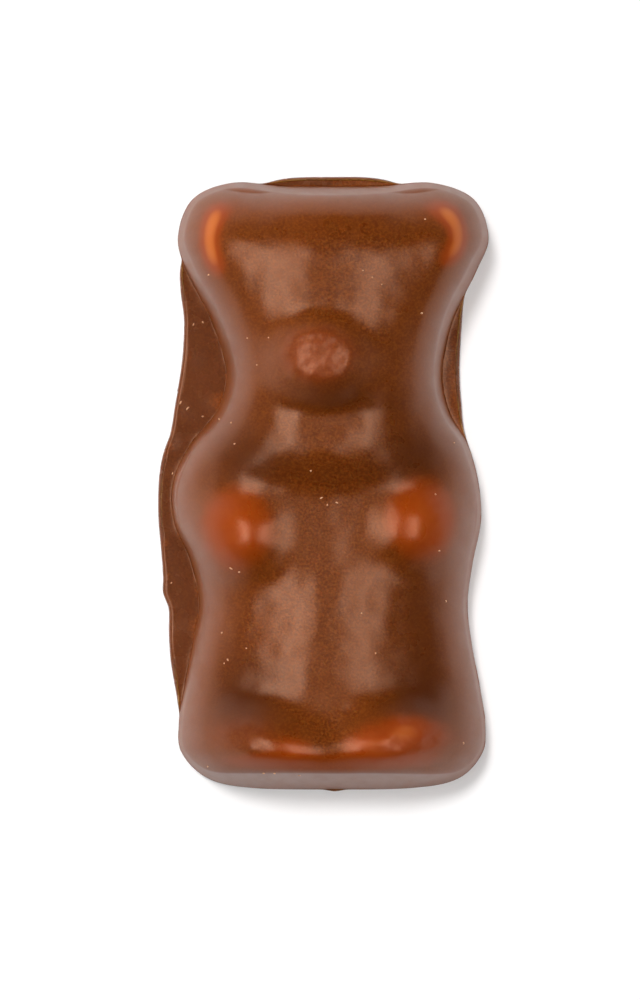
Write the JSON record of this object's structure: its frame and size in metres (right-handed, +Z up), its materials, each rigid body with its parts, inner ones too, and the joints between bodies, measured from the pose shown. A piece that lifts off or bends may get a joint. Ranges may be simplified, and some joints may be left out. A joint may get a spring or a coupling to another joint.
{
  "type": "chocolate gummy bear",
  "caption": "Gummy bear sweet coated in milk chocolate, lying on its flat back, with rounded ears, snout, paws and feet and a thin foot of set chocolate round its base.",
  "frame": {"origin": "on the flat back, in the middle of the body", "axes": "+Z up out of the bear's front, +Y from the soles to the head, +X to the right as one looks down on the front"},
  "size_m": [0.0142, 0.0264, 0.0092],
  "materials": {
    "milk_chocolate": "satin milk chocolate, slightly translucent where it is thin"
  },
  "bodies": {
    "root": {"bear": "milk_chocolate"}
  },
  "joints": []
}
